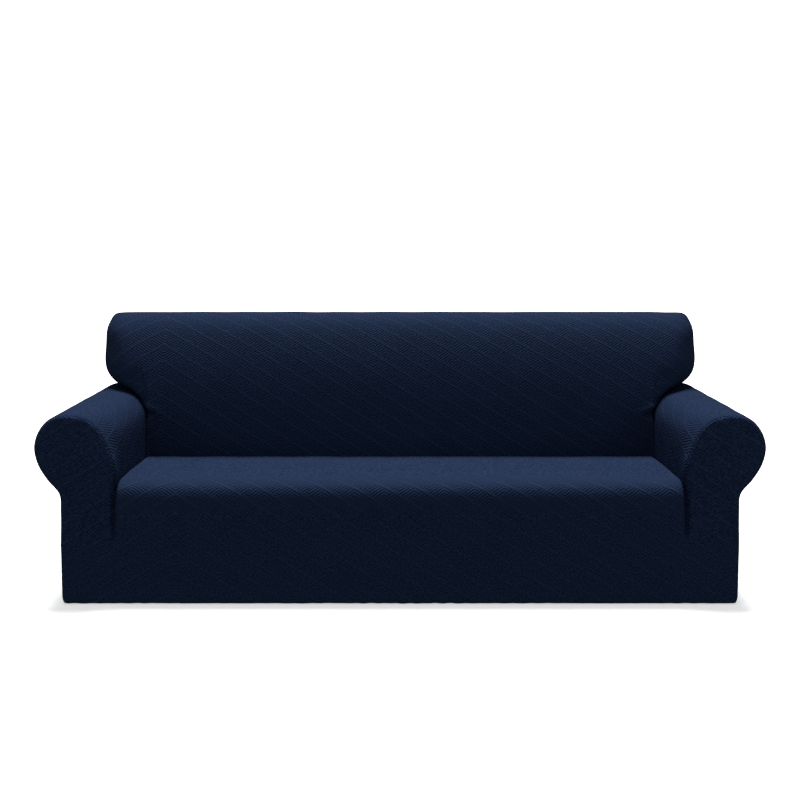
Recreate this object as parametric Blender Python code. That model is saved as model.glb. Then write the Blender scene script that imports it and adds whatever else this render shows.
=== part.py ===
"""Fitted stretch slipcover for a three-seat sofa with rolled arms.

Metres, +Z up. The front faces -Y, and the origin is the middle of the footprint on the floor. The cover is
hollow and open below. Its shape is worked out as one thin skin of patches whose edges share their points, so
that the panels meet along common seams. Each panel then gets the cloth's thickness and a seam allowance of air.
"""

import bmesh
import bpy
import numpy as np

# Driving sizes. Depth is measured from the front plane backwards, height from the floor.
DEPTH = 0.92
CLOTH = 0.0015
SEAM_PULL = 0.00022
BASE_HALF_WIDTH = 1.091
SLIT_X = 0.918
SLIT_FOOT = 0.186
BACK_TOP = 0.883
BACK_REAR_TOP = 0.868
SEAM_INSET = 0.005
ROUND_STEP = 0.014
HEM_DRAW = 0.008
FACE_PUFF = 0.005
END_ROUND = 0.13
END_TURN = np.radians(115.0)
GROOVE_WIDTH = 0.026
REAR_SEAM = DEPTH - SEAM_INSET
MIDDLE_DEPTH = (DEPTH - FACE_PUFF) / 2  # the arm fronts puff out past the front plane
MOST_MITRE = 1.8

# Arm outline in the front view, from the seat seam over the roll to the hem.
ARM_OUTLINE = (  # x, z
    (0.912, 0.362),
    (0.910, 0.404),
    (0.916, 0.453),
    (0.930, 0.492),
    (0.951, 0.540),
    (0.990, 0.586),
    (1.045, 0.606),
    (1.091, 0.605),
    (1.130, 0.591),
    (1.160, 0.558),
    (1.177, 0.506),
    (1.167, 0.452),
    (1.132, 0.394),
    (1.094, 0.349),
    (1.091, 0.300),
    (1.091, 0.186),
)
INNER_SHOULDER = 5
OUTER_SHOULDER = 7
INNER_STEPS = 7
# The arm is fuller on its inside behind the front: where these first points of the outline lie there.
FULLER_OUTLINE = (  # x, z
    (0.913, 0.362),
    (0.9135, 0.404),
    (0.916, 0.453),
    (0.922, 0.497),
    (0.935, 0.543),
    (0.972, 0.588),
    (1.036, 0.607),
)
FULLER_FROM = 0.12  # depth at which the arm has its fuller section

# Where the back's cloth meets the arm's, by place along the arm outline (0 at the seat seam, 1 at the outer
# shoulder): how deep the junction lies.
JUNCTION = (  # share of the outline, depth
    (0.00, 0.548),
    (0.14, 0.556),
    (0.30, 0.580),
    (0.42, 0.618),
    (0.52, 0.655),
    (0.64, 0.684),
    (0.76, 0.712),
    (0.88, 0.790),
    (1.00, REAR_SEAM),
)

# Section through the middle of the front drop and the seat, and the line of its side seam.
SEAT_SECTION = (  # middle depth, middle height, side x, side depth, side height
    (0.000, 0.186, 0.918, 0.000, 0.186),
    (0.000, 0.235, 0.918, 0.012, 0.235),
    (-0.002, 0.285, 0.917, 0.020, 0.280),
    (-0.001, 0.325, 0.915, 0.026, 0.315),
    (0.010, 0.357, 0.914, 0.031, 0.341),
    (0.030, 0.379, 0.913, 0.036, 0.362),
    (0.062, 0.389, 0.913, 0.064, 0.366),
    (0.130, 0.392, 0.913, 0.130, 0.366),
    (0.220, 0.392, 0.913, 0.220, 0.366),
    (0.320, 0.390, 0.913, 0.320, 0.366),
    (0.420, 0.387, 0.913, 0.420, 0.364),
    (0.490, 0.381, 0.913, 0.490, 0.361),
    (0.535, 0.372, 0.912, 0.530, 0.357),
    (0.566, 0.350, 0.912, 0.548, 0.350),
)
SLIT_STEPS = 5
SEAT_COLUMNS = (0.0, 0.009, 0.024, 0.055, 0.13, 0.30, 0.56)  # distance in from the slit line

# Heights of the rows under the slits, with the depth by which the hem is drawn in at each.
LOW_ROWS = (  # height, draw-in
    (0.000, HEM_DRAW),
    (0.006, 0.003),
    (0.020, 0.000),
    (0.075, -0.001),
    (0.130, -0.001),
    (0.186, 0.000),
)
ARM_FRONT_COLUMNS = (0.0, 0.07, 0.18, 0.33, 0.50, 0.67, 0.83, 0.94, 1.0)  # share of the arm front's width
TOP_STEPS = len(ARM_FRONT_COLUMNS) - 1
OUTER_STEPS = SLIT_STEPS + INNER_STEPS
ARM_COLUMNS = len(SEAT_SECTION) - SLIT_STEPS

# Front face of the back, from the crevice to where it starts to round over its top.
BACK_FACE = (  # height, depth
    (0.350, 0.566),
    (0.375, 0.557),
    (0.400, 0.551),
    (0.440, 0.548),
    (0.500, 0.553),
    (0.570, 0.563),
    (0.640, 0.578),
    (0.700, 0.596),
    (0.750, 0.616),
    (0.795, 0.639),
    (0.830, 0.663),
)
BACK_FACE_STEPS = 9
BACK_SHOULDER = 0.830
OUTWARD_COLUMNS = 11
BACK_OVER_TOP = (  # depth, height
    (0.690, 0.856),
    (0.728, 0.875),
    (0.790, BACK_TOP),
    (0.870, 0.879),
    (REAR_SEAM, BACK_REAR_TOP),
)
END_OVER_TOP = (  # height, half width of the same rows at the back's ends
    (0.851, 1.116),
    (0.863, 1.109),
    (0.871, 1.098),
    (0.872, 1.082),
    (0.868, 1.061),
)
# Half width of the back above the arms.
BACK_OUTLINE = (  # height, half width
    (0.600, 1.106),
    (0.612, 1.119),
    (0.631, 1.137),
    (0.654, 1.146),
    (0.688, 1.149),
    (0.760, 1.143),
    (0.814, 1.134),
    (0.837, 1.124),
)


def spline(table, share):
    """Smooth curve through the table's points: a cubic on each span whose slopes at the points are those of the
    chord between the neighbours. share runs from 0 to 1 by chord length."""
    points = np.array(table, float)
    length = np.r_[0.0, np.cumsum(np.linalg.norm(np.diff(points, axis=0), axis=1))]
    slope = np.gradient(points, length, axis=0)
    at = np.clip(np.asarray(share, float), 0.0, 1.0) * length[-1]
    span = np.clip(np.searchsorted(length, at, side="right") - 1, 0, len(points) - 2)
    width = (length[span + 1] - length[span])[:, None]
    t = (at - length[span])[:, None] / width
    start = (2 * t**3 - 3 * t**2 + 1) * points[span] + (t**3 - 2 * t**2 + t) * width * slope[span]
    end = (3 * t**2 - 2 * t**3) * points[span + 1] + (t**3 - t**2) * width * slope[span + 1]
    return start + end


def chord_shares(table):
    """Share of the length at which each point of the table lies."""
    length = np.r_[0.0, np.cumsum(np.linalg.norm(np.diff(np.array(table), axis=0), axis=1))]
    return length / length[-1]


def column(table, index):
    """One column of a table as an array."""
    return np.array([row[index] for row in table])


def arm_outline():
    """Points of the whole arm outline, hem included, and the outward direction at each, in the front view, and
    how far each point moves where the arm is at its fullest."""
    shares = chord_shares(ARM_OUTLINE)
    inner = np.linspace(0.0, shares[INNER_SHOULDER], INNER_STEPS + 1)
    top = np.linspace(shares[INNER_SHOULDER], shares[OUTER_SHOULDER], TOP_STEPS + 1)[1:]
    outer = np.linspace(shares[OUTER_SHOULDER], 1.0, OUTER_STEPS + 1)[1:]
    at = np.r_[inner, top, outer]
    upper = spline(ARM_OUTLINE, at)
    fuller = FULLER_OUTLINE + ARM_OUTLINE[len(FULLER_OUTLINE) :]
    shift = spline(fuller, np.interp(at, shares, chord_shares(fuller))) - upper
    heights, draws = np.array(LOW_ROWS)[-2::-1].T
    lower = np.stack([BASE_HALF_WIDTH - 0.006 * (1 - heights / SLIT_FOOT) - np.maximum(draws, 0), heights], 1)
    outline = np.vstack([upper, lower])
    along = np.gradient(outline, axis=0)
    along /= np.linalg.norm(along, axis=1)[:, None]
    shift = np.vstack([shift, np.zeros((len(lower), 2))])
    return outline, np.stack([-along[:, 1], along[:, 0]], 1), shift


OUTLINE, OUTWARD, FULLER_SHIFT = arm_outline()
SEAT_CORNER = 0
REAR_CORNER = INNER_STEPS + TOP_STEPS
SLIT_ROW = REAR_CORNER + OUTER_STEPS


def junction_depths():
    """Depth of the back and arm junction at each outline point up to the rear corner."""
    shares = np.linspace(0.0, 1.0, REAR_CORNER + 1)
    return np.interp(shares, column(JUNCTION, 0), column(JUNCTION, 1))


def arm_front_seam():
    """Seam between the arm front and the arm panel: the outline drawn in a little and set just behind the front
    plane, running back into the slit at its inner foot."""
    seam = OUTLINE - OUTWARD * SEAM_INSET
    seam[SEAT_CORNER] = OUTLINE[SEAT_CORNER]
    seam[-1] = OUTLINE[-1]
    depth = np.full(len(seam), SEAM_INSET)
    slit = SEAT_SECTION[SLIT_STEPS][3]
    depth[:4] = slit * np.array([1.0, 0.52, 0.26, 0.17])
    depth[SLIT_ROW:] += np.maximum(column(LOW_ROWS, 1)[::-1], 0) * 0.7
    return np.stack([seam[:, 0], depth, seam[:, 1]], 1)


def arm_patch():
    """Arm panel: rows along the outline, columns from the front seam to the rear seam or the back's junction."""
    seam = arm_front_seam()
    rear = np.full(len(OUTLINE), REAR_SEAM)
    rear[: REAR_CORNER + 1] = junction_depths()
    steps = np.linspace(0.0, 1.0, ARM_COLUMNS - 2)
    patch = np.zeros((len(OUTLINE), ARM_COLUMNS, 3))
    start = seam[:, 1] + ROUND_STEP
    end = rear - ROUND_STEP
    patch[:, 1:-1, 1] = start[:, None] + (end - start)[:, None] * steps
    patch[:, -1, 1] = rear
    full = np.clip(patch[:, :, 1] / FULLER_FROM, 0.0, 1.0)
    full = full * full * (3.0 - 2.0 * full)
    patch[:, :, 0] = OUTLINE[:, :1] + FULLER_SHIFT[:, :1] * full
    patch[:, :, 2] = OUTLINE[:, 1:] + FULLER_SHIFT[:, 1:] * full
    patch[:, 0] = seam
    drawn = slice(REAR_CORNER + 1, len(OUTLINE) - 1)
    patch[drawn, -1, 0] -= OUTWARD[drawn, 0] * SEAM_INSET
    patch[drawn, -1, 2] -= OUTWARD[drawn, 1] * SEAM_INSET
    patch[-1, -1, 1] -= HEM_DRAW * 0.7
    patch[SEAT_CORNER] = seat_patch()[SLIT_STEPS:, -1]
    return patch


def slit_weight(distance):
    """How much a point takes part in the slit's fold: 1 on the seam, 0 at GROOVE_WIDTH from it."""
    return np.clip(1.0 - distance / GROOVE_WIDTH, 0.0, 1.0) ** 2


def seat_patch():
    """Right half of the front drop above the slit's foot and of the seat: rows go up the drop and back over the
    seat, columns from the middle to the side seam."""
    section = np.array(SEAT_SECTION)
    distance = np.r_[SLIT_X, np.array(SEAT_COLUMNS)[::-1]]
    weight = slit_weight(distance)[None, :]
    middle_x = np.repeat((SLIT_X - distance)[None, :], len(section), 0)
    x = middle_x + (section[:, 2:3] - SLIT_X) * weight
    depth = section[:, 0:1] + (section[:, 3:4] - section[:, 0:1]) * weight
    height = section[:, 1:2] + (section[:, 4:5] - section[:, 1:2]) * weight
    return np.stack([x, depth, height], 2)


def low_patch():
    """Right half of the front below the slit's foot, from the middle to the outer edge."""
    heights, draws = np.array(LOW_ROWS).T
    seam = arm_front_seam()[SLIT_ROW:][::-1]
    distance = np.r_[SLIT_X, np.array(SEAT_COLUMNS)[::-1]]
    drop = np.repeat((SLIT_X - distance)[None, :], len(heights), 0)
    share = np.array(ARM_FRONT_COLUMNS)[1:]
    front = SLIT_X + (seam[:, 0:1] - SLIT_X) * share
    x = np.hstack([drop, front])
    depth = np.repeat(draws[:, None], x.shape[1], 1)
    patch = np.stack([x, depth, np.repeat(heights[:, None], x.shape[1], 1)], 2)
    patch[:, -1] = seam
    return patch


def arm_front_patch():
    """Right arm front above the slit's foot: rows from the foot to the top of the scroll, columns from the slit
    and the inner seam to the outer seam. The four edges are blended across (a Coons patch) in the front view."""
    seam = arm_front_seam()
    slit = np.array(SEAT_SECTION)[: SLIT_STEPS + 1, 2:5]
    inner = np.vstack([slit[:, [0, 1, 2]], seam[1 : INNER_STEPS + 1]])
    outer = seam[REAR_CORNER : SLIT_ROW + 1][::-1]
    top = seam[INNER_STEPS : REAR_CORNER + 1]
    share = np.array(ARM_FRONT_COLUMNS)
    bottom = low_patch()[-1, -len(share) :]
    rows = len(inner)
    u = share[None, :, None]
    v = np.linspace(0.0, 1.0, rows)[:, None, None]
    across = inner[:, None] * (1 - u) + outer[:, None] * u
    upward = bottom[None] * (1 - v) + top[None] * v
    corners = (1 - v) * ((1 - u) * bottom[0] + u * bottom[-1]) + v * ((1 - u) * top[0] + u * top[-1])
    patch = across + upward - corners
    from_slit = patch[:, :, 0] - inner[:, None, 0]
    weight = slit_weight(from_slit)
    rise = np.sin(np.pi * np.linspace(0.0, 1.0, rows))[:, None] * np.sin(np.pi * share)[None, :]
    patch[:, :, 1] = inner[:, None, 1] * weight - FACE_PUFF * rise
    patch[:, 0], patch[:, -1] = inner, outer
    patch[-1], patch[0] = top, bottom
    return patch


def back_patch(arm, seat):
    """Inside back: columns run from the right rear corner over the arm, along the crevice and over the left arm;
    rows go up the face, over the top to the rear seam."""
    right = arm[: REAR_CORNER + 1, -1][::-1]
    crevice = seat[-1][::-1][1:]
    half = np.vstack([right, crevice])
    foot = np.vstack([half, (half * [-1, 1, 1])[-2::-1]])
    angle = np.zeros(len(half))
    angle[: REAR_CORNER + 1] = np.linspace(END_TURN, 0.0, REAR_CORNER + 1)
    spread = np.ones(len(half))
    spread[REAR_CORNER:] = half[REAR_CORNER:, 0] / half[REAR_CORNER, 0]
    angle = np.r_[angle, angle[-2::-1]][:, None]
    spread = np.r_[spread, -spread[-2::-1]][:, None]
    over = np.array(BACK_OVER_TOP)
    rows = BACK_FACE_STEPS + len(over)
    climb = np.linspace(0.0, 1.0, BACK_FACE_STEPS + 1)
    height = foot[:, 2:3] + (BACK_SHOULDER - foot[:, 2:3]) * climb
    face = np.interp(height, column(BACK_FACE, 0), column(BACK_FACE, 1))
    height = np.hstack([height, np.repeat(over[None, :, 1], len(foot), 0)])
    face = np.hstack([face, np.repeat(over[None, :, 0], len(foot), 0)])
    # At the ends the top rounds down, along the outline.
    end = (1.0 - np.cos(angle)) / (1.0 - np.cos(END_TURN))
    low_end, end_width = np.array(END_OVER_TOP).T
    height[:, -len(over) :] += (low_end - height[:, -len(over) :]) * end
    width = np.interp(height, column(BACK_OUTLINE, 0), column(BACK_OUTLINE, 1))
    width[:, -len(over) :] = end_width
    level = np.interp(np.arange(rows + 1), [0, BACK_FACE_STEPS, rows], [0.0, 0.85, 1.0])
    target = (width - END_ROUND * (1.0 - np.sin(angle))) * spread
    # Over the arm the cloth takes up the end's full width within a few rows. Beside the arm it first goes straight up.
    outer = np.clip(1.0 - np.arange(len(half)) / OUTWARD_COLUMNS, 0.0, 1.0)
    outer = np.r_[outer, outer[-2::-1]][:, None]
    share = outer * (1.0 - (1.0 - level) ** 6) + (1.0 - outer) * level**3
    x = foot[:, 0:1] + (target - foot[:, 0:1]) * share
    # The end's rounding sets in where the cloth passes its flat face, so beside the arm the face stays flat.
    passed = np.clip((np.abs(x) - width) / END_ROUND + 1.0, 0.0, 1.0)
    turn = outer * angle + (1.0 - outer) * np.minimum(angle, np.arcsin(passed))
    depth = face + (REAR_SEAM - face) * (1.0 - np.cos(turn)) / (1.0 - np.cos(END_TURN))
    settle = np.exp(-level / 0.10)[None, :]
    depth += (foot[:, 1:2] - depth[:, :1]) * settle
    patch = np.stack([x, depth, height], 2)
    patch[:, -1, 1] = REAR_SEAM
    patch[0, :, 1] = patch[-1, :, 1] = REAR_SEAM
    patch[:, 0] = foot
    evenly = np.linspace(patch[0, -1, 0], patch[REAR_CORNER, -1, 0], REAR_CORNER + 1)
    patch[: REAR_CORNER + 1, -1, 0] = evenly
    patch[-REAR_CORNER - 1 :, -1, 0] = -evenly[::-1]
    return patch


def rear_patch(arm, back):
    """Outside back: rows from the hem up both outer edges to the top, columns spread as along the top edge."""
    side = np.vstack([arm[REAR_CORNER:, -1][::-1], back[0, 1:]])
    top = back[:, -1]
    share = (top[0, 0] - top[:, 0]) / (top[0, 0] - top[-1, 0])
    rows = len(side)
    patch = np.zeros((rows, len(share), 3))
    patch[:, :, 0] = side[:, 0:1] * (1.0 - 2.0 * share)
    patch[:, :, 1] = DEPTH
    patch[:, :, 2] = side[:, 2:3]
    draws = np.zeros(rows)
    draws[: len(LOW_ROWS)] = np.maximum(column(LOW_ROWS, 1), 0.0)
    patch[:, :, 1] -= draws[:, None]
    lift = np.linspace(0.0, 1.0, rows)[:, None] ** 8
    patch[:, :, 2] += (top[None, :, 2] - side[-1, 2]) * lift
    patch[:, 0], patch[:, -1] = side, side * [-1, 1, 1]
    patch[-1] = top
    return patch


class Skin:
    """The whole cover as one thin surface: shared points, and faces sorted by panel."""

    def __init__(self):
        self.points = []
        self.index = {}
        self.faces = {}

    def point(self, xyz):
        key = tuple(round(float(value) * 1e6) for value in xyz)
        if key not in self.index:
            self.index[key] = len(self.points)
            self.points.append((float(xyz[0]), float(xyz[1]) - MIDDLE_DEPTH, float(xyz[2])))
        return self.index[key]

    def add(self, panel, patch):
        """Adds a grid of points as triangles, each square cut along its shorter diagonal."""
        ids = [[self.point(xyz) for xyz in row] for row in patch]
        faces = self.faces.setdefault(panel, [])
        place = np.array(self.points)
        for low, high in zip(ids, ids[1:]):
            for a, b, c, d in zip(low, low[1:], high[1:], high):
                rising = np.linalg.norm(place[c] - place[a]) <= np.linalg.norm(place[d] - place[b]) + 1e-6
                pair = ((a, b, c), (a, c, d)) if rising else ((a, b, d), (b, c, d))
                faces += [ring for ring in pair if len(set(ring)) == 3]

    def turn_outward(self):
        """Turns all faces to point away from the hollow, and finds where the inside of the cloth lies."""
        owners = [panel for panel, faces in self.faces.items() for _ in faces]
        mesh = bmesh.new()
        corners = [mesh.verts.new(point) for point in self.points]
        for faces in self.faces.values():
            for ring in faces:
                mesh.faces.new([corners[i] for i in ring])
        mesh.verts.index_update()
        bmesh.ops.recalc_face_normals(mesh, faces=mesh.faces[:])
        mesh.normal_update()
        highest = max(mesh.faces, key=lambda face: face.calc_center_median().z)
        if highest.normal.z < 0:
            bmesh.ops.reverse_faces(mesh, faces=mesh.faces[:])
            mesh.normal_update()
        self.faces = {panel: [] for panel in self.faces}
        for panel, face in zip(owners, mesh.faces):
            self.faces[panel].append([corner.index for corner in face.verts])
        self.mitre = [min(v.calc_shell_factor(), MOST_MITRE) for v in mesh.verts]
        self.inside = [v.co - v.normal * CLOTH * m for v, m in zip(mesh.verts, self.mitre)]
        self.points = [v.co.copy() for v in mesh.verts]
        mesh.free()


def edges_of(faces):
    """Each directed side of the faces."""
    return [(ring[i - 1], ring[i]) for ring in faces for i in range(len(ring))]


def panel_object(skin, panel, material, collection):
    """Closed solid of one panel: its outer and inner faces, joined round its border, drawn back from the seams."""
    faces = skin.faces[panel]
    sides = edges_of(faces)
    border = [side for side in sides if (side[1], side[0]) not in set(sides)]
    others = {i for name, rings in skin.faces.items() if name != panel for ring in rings for i in ring}
    seam_points = {i for side in border for i in side} & others
    inward = {}
    for a, b in sides:
        for i, j in ((a, b), (b, a)):
            if i in seam_points and j not in seam_points:
                inward.setdefault(i, []).append((skin.points[j] - skin.points[i]).normalized())
    used = sorted({i for ring in faces for i in ring})
    place = {old: new for new, old in enumerate(used)}
    pull = {i: sum(ways[1:], ways[0].copy()).normalized() * SEAM_PULL * skin.mitre[i] for i, ways in inward.items()}
    outer = [skin.points[i] + pull[i] if i in pull else skin.points[i] for i in used]
    inner = [skin.inside[i] + pull[i] if i in pull else skin.inside[i] for i in used]
    count = len(used)
    rings = [[place[i] for i in ring] for ring in faces]
    rings += [[place[i] + count for i in reversed(ring)] for ring in faces]
    for a, b in border:
        first, last, deep_first, deep_last = place[a], place[b], place[a] + count, place[b] + count
        if a < b:
            rings += [[last, first, deep_last], [first, deep_first, deep_last]]
        else:
            rings += [[last, first, deep_first], [last, deep_first, deep_last]]
    mesh = bpy.data.meshes.new(panel)
    mesh.from_pydata(outer + inner, [], rings)
    mesh.validate()
    mesh.shade_smooth()
    mesh.set_sharp_from_angle(angle=np.radians(40.0))
    mesh.materials.append(material)
    solid = bpy.data.objects.new(panel, mesh)
    collection.objects.link(solid)
    return solid


def navy_cloth():
    """Navy stretch jacquard."""
    material = bpy.data.materials.new("navy_jacquard")
    material.use_nodes = True
    shader = material.node_tree.nodes["Principled BSDF"]
    shader.inputs["Base Color"].default_value = (0.010, 0.018, 0.044, 1.0)
    shader.inputs["Roughness"].default_value = 0.85
    shader.inputs["Metallic"].default_value = 0.0
    return material


def mirrored(patch):
    """The same patch on the other side of the sofa."""
    return patch * [-1, 1, 1]


def whole_width(patch):
    """A right half joined to its mirror image along the middle column."""
    return np.concatenate([mirrored(patch)[:, :0:-1], patch], 1)


def main():
    for old in list(bpy.data.objects):
        bpy.data.objects.remove(old, do_unlink=True)
    collection = bpy.data.collections.new("sofa_slipcover")
    bpy.context.scene.collection.children.link(collection)

    arm, seat = arm_patch(), seat_patch()
    back = back_patch(arm, seat)
    skin = Skin()
    skin.add("front_panel", whole_width(low_patch()))
    skin.add("front_panel", whole_width(seat))
    for side in (arm_front_patch(), mirrored(arm_front_patch())):
        skin.add("front_panel", side)
    skin.add("arm_panel_right", arm)
    skin.add("arm_panel_left", mirrored(arm))
    skin.add("inside_back_panel", back)
    skin.add("outside_back_panel", rear_patch(arm, back))
    skin.turn_outward()

    material = navy_cloth()
    for panel in skin.faces:
        panel_object(skin, panel, material, collection)


main()
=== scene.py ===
# %% [markdown]
# # A fitted stretch cover for a three-seat sofa
#
# The object is a cover that a sewer cuts from navy stretch jacquard in five panels: the front with the seat
# and the two arm fronts in one, two arm panels, the inside back and the outside back. It is stretched over a
# sofa that isn't part of the object, so all that shows is one taut skin with seams.
#
# The imported frame comes first. It holds the five panels as plain solids. The pieces below stand for them,
# and the frame's solids are kept here, hidden.

import bmesh
import bpy
import numpy as np
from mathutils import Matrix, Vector


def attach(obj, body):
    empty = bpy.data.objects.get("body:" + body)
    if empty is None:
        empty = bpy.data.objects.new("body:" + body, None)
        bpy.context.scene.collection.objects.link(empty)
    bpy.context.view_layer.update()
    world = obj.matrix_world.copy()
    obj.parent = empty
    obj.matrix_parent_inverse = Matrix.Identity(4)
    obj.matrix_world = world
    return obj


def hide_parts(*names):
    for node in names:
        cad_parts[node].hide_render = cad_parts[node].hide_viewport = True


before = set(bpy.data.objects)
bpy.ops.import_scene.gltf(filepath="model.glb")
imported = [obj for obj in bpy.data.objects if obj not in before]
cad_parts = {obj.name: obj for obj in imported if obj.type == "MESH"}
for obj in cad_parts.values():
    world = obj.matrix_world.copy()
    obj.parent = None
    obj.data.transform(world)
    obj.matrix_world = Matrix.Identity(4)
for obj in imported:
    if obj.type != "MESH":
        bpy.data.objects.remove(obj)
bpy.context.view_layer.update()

# %% [markdown]
# ## Curves through a few measured points
#
# A taut cloth follows the edges of what it covers, so its shape is given by a few curves: the arm seen from
# the front, the section through the seat, the junction of arm and back. Each could be a Bezier curve object,
# but then its points would be out of reach of the surface that is stretched between the curves. Here a curve
# is a table of points, and one function makes it smooth.

# %% Smooth curve through a table
def chord_shares(table):
    """Share of the whole length at each point: the running sum of the distances between points, over the
    total."""
    length = np.r_[0.0, np.cumsum(np.linalg.norm(np.diff(np.array(table, float), axis=0), axis=1))]
    return length / length[-1]


def curve(table, share):
    """Point at a share of the length. On each span it is the cubic that starts and ends with the slopes found
    at the table's points from their neighbours (Hermite's form)."""
    points = np.array(table, float)
    at_point = chord_shares(table)
    slope = np.gradient(points, at_point, axis=0)
    share = np.clip(np.asarray(share, float), 0.0, 1.0)
    span = np.clip(np.searchsorted(at_point, share, side="right") - 1, 0, len(points) - 2)
    width = (at_point[span + 1] - at_point[span])[:, None]
    t = (share - at_point[span])[:, None] / width
    start = (2 * t**3 - 3 * t**2 + 1) * points[span] + (t**3 - 2 * t**2 + t) * width * slope[span]
    end = (3 * t**2 - 2 * t**3) * points[span + 1] + (t**3 - t**2) * width * slope[span + 1]
    return start + end


# %% [markdown]
# ## The arm's outline
#
# A rolled arm seen from the front is a stem that widens into a scroll. The outline starts at the seam beside
# the seat, climbs the inside, goes over the roll and drops to the hem. The same points serve the arm panel,
# which runs back from them, and the arm front, which fills them. So the two meet along one seam.

# %% Outline of the arm
depth_of_cover = 0.92
seam_inset = 0.005
rear_seam = depth_of_cover - seam_inset
face_puff, seam_turn = 0.005, 0.006
middle_depth = (depth_of_cover - face_puff) / 2
slit_x, slit_foot = 0.918, 0.186
base_half_width = 1.091
hem_draw, hem_height = 0.008, 0.016
foot_lean = 0.006  # how far the stem leans in from the slit's foot to the floor

arm_points = (  # x, z
    (0.914, 0.362),
    (0.910, 0.404),
    (0.916, 0.453),
    (0.930, 0.492),
    (0.951, 0.540),
    (0.990, 0.586),
    (1.045, 0.606),
    (1.091, 0.605),
    (1.130, 0.591),
    (1.160, 0.558),
    (1.177, 0.506),
    (1.167, 0.452),
    (1.132, 0.394),
    (1.094, 0.349),
    (1.091, 0.300),
    (1.091, 0.186),
)
fuller_points = (  # x, z of the first of these points behind the front, where the arm is fuller inside
    (0.915, 0.362),
    (0.9155, 0.404),
    (0.9165, 0.453),
    (0.919, 0.500),
    (0.928, 0.545),
    (0.964, 0.589),
    (1.032, 0.608),
)
fuller_from = 0.12
inner_rows, top_rows, outer_rows, low_rows = 36, 18, 66, 26


def hem_draw_in(height):
    """How far the elastic in the hem pulls the cloth in: all of it at the floor, none from 16 mm up."""
    return hem_draw * np.clip(1.0 - height / hem_height, 0.0, 1.0) ** 2


def arm_outline():
    """Outline points (x, z) from the seat seam to the floor, the outward direction at each (the curve's
    direction turned by a quarter), and how far each moves to the fuller outline, at the same place between
    its points."""
    at = chord_shares(arm_points)
    fuller = fuller_points + arm_points[len(fuller_points) :]
    inner = np.linspace(0.0, at[5], inner_rows + 1)
    top = np.linspace(at[5], at[7], top_rows + 1)[1:]
    outer = np.linspace(at[7], 1.0, outer_rows + 1)[1:]
    share = np.r_[inner, top, outer]
    upper = curve(arm_points, share)
    shift = curve(fuller, np.interp(share, at, chord_shares(fuller))) - upper
    height = slit_foot * (1.0 - np.arange(1, low_rows + 1) / low_rows)
    half_width = base_half_width - foot_lean * (1.0 - height / slit_foot) - hem_draw_in(height)
    lower = np.stack([half_width, height], 1)
    outline = np.vstack([upper, lower])
    along = np.gradient(outline, axis=0)
    along /= np.linalg.norm(along, axis=1)[:, None]
    shift = np.vstack([shift, np.zeros((low_rows, 2))])
    return outline, np.stack([-along[:, 1], along[:, 0]], 1), shift


outline, outward, fuller_shift = arm_outline()
rear_corner = inner_rows + top_rows
slit_row = rear_corner + outer_rows
print(f"arm outline: {len(outline)} points, "
      f"{np.linalg.norm(np.diff(outline, axis=0), axis=1).sum():.3f} m long")

# %% [markdown]
# ## The seat's section and the slit
#
# In the middle the cloth goes straight up the front, rolls over the edge and runs back over the seat. At the
# sides it dives into a groove between the seat and the arm. On the real cover the groove is a slit that the
# sewer closes as a dart, and it stops 19 cm above the floor. The table has one row for each place along the
# section, with the middle line and the seam line side by side, so both are refined together.

# %% Section of the seat
seat_section = (  # middle depth, middle height, side x, side depth, side height
    (0.000, 0.186, 0.918, 0.000, 0.186),
    (0.000, 0.235, 0.919, 0.016, 0.235),
    (-0.002, 0.285, 0.920, 0.024, 0.280),
    (-0.001, 0.325, 0.920, 0.029, 0.315),
    (0.004, 0.353, 0.919, 0.031, 0.341),
    (0.015, 0.373, 0.918, 0.036, 0.362),
    (0.046, 0.388, 0.920, 0.064, 0.366),
    (0.130, 0.392, 0.922, 0.130, 0.366),
    (0.220, 0.392, 0.923, 0.220, 0.366),
    (0.320, 0.390, 0.921, 0.320, 0.366),
    (0.420, 0.387, 0.919, 0.420, 0.364),
    (0.490, 0.384, 0.917, 0.490, 0.361),
    (0.538, 0.378, 0.916, 0.530, 0.357),
    (0.562, 0.342, 0.915, 0.548, 0.346),
)
drop_rows, seat_rows, groove_width = 32, 82, 0.013
seat_at = chord_shares(seat_section)
up_the_drop = np.linspace(0.0, seat_at[5], drop_rows + 1)
over_the_seat = np.linspace(seat_at[5], 1.0, seat_rows + 1)[1:]
section = curve(seat_section, np.r_[up_the_drop, over_the_seat])
slit_line = section[: drop_rows + 1, 2:5]
seat_seam = section[drop_rows:, 2:5]
print(f"seat seam: {len(seat_seam)} points from depth {seat_seam[0, 1]:.3f} to {seat_seam[-1, 1]:.3f} m")


def toward_seam(distance):
    """Share that a point takes in the groove: 1 on the seam and 0 from 13 mm away, falling as a square."""
    return np.clip(1.0 - distance / groove_width, 0.0, 1.0) ** 2


# %% [markdown]
# ## Front panel
#
# The front is one cut of cloth: a drop across the whole width, two arm fronts and the seat. It could be one
# grid pulled into shape, but the slits would tear it. So it is three grids that share their edge points: the
# part below the slits, the part that goes up and over the seat, and the arm front. The arm front is stretched
# between its four edges, which is what a taut cloth does: each point is the mean of the two blends across and
# up, less the blend of the corners (Coons' patch).

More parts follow.
